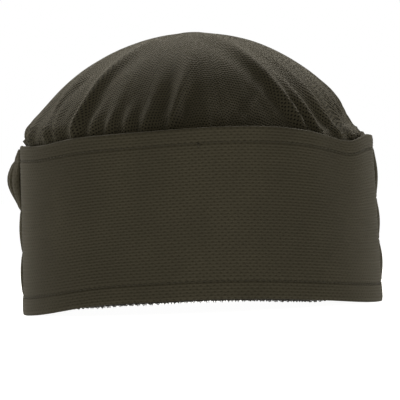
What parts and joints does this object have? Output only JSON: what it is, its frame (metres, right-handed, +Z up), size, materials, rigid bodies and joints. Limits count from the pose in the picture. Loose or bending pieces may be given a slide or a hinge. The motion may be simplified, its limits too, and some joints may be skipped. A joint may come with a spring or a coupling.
{
  "type": "chef cap",
  "caption": "Low chef's cap: wide stiffened forehead band, gathered mesh dome crown, terry sweatband and an elastic back that stretches.",
  "frame": {"origin": "centre of the cap's bounding box at the level that its lower edge rests on", "axes": "+Z up through the crown, -Y towards the wearer's face (front of the band), +X towards the wearer's left"},
  "size_m": [0.1742, 0.1979, 0.1325],
  "materials": {
    "band_knit": "matte double knit, near black olive brown",
    "crown_mesh": "birdseye mesh, near black olive brown",
    "stiffener": "non-woven, off white",
    "terry": "looped terry",
    "elastic": "woven elastic, hidden in its casing",
    "label": "blank woven satin",
    "overlock_thread": "overlock thread",
    "stitch_thread": "spun polyester thread"
  },
  "bodies": {
    "front": {"crown_panel": "crown_mesh", "crown_seam_overlock": "overlock_thread", "crown_seam_stitch": "stitch_thread", "front_band_facing": "band_knit", "front_band_outer": "band_knit", "front_band_stiffener": "stiffener", "front_hem_stitch": "stitch_thread", "front_top_edge_stitch": "stitch_thread", "side_seam_overlock_left": "overlock_thread", "side_seam_overlock_right": "overlock_thread", "side_seam_stitch_left": "stitch_thread", "side_seam_stitch_right": "stitch_thread", "sweatband": "terry", "sweatband_overlock": "overlock_thread", "sweatband_upper_stitch": "stitch_thread"},
    "back": {"back_casing_inner": "band_knit", "back_casing_outer": "band_knit", "back_elastic": "elastic", "back_hem_stitch": "stitch_thread", "back_shirring_stitch_lower": "stitch_thread", "back_shirring_stitch_upper": "stitch_thread", "back_top_edge_stitch": "stitch_thread", "care_label": "label", "care_label_stitch": "stitch_thread", "elastic_end_tack_left": "stitch_thread", "elastic_end_tack_right": "stitch_thread"}
  },
  "joints": [
    {"name": "back_stretch", "type": "slide", "parent": "front", "child": "back", "axis": [0, 1, 0], "range_m": [0, 0.016], "stiffness_N_per_m": 150}
  ]
}
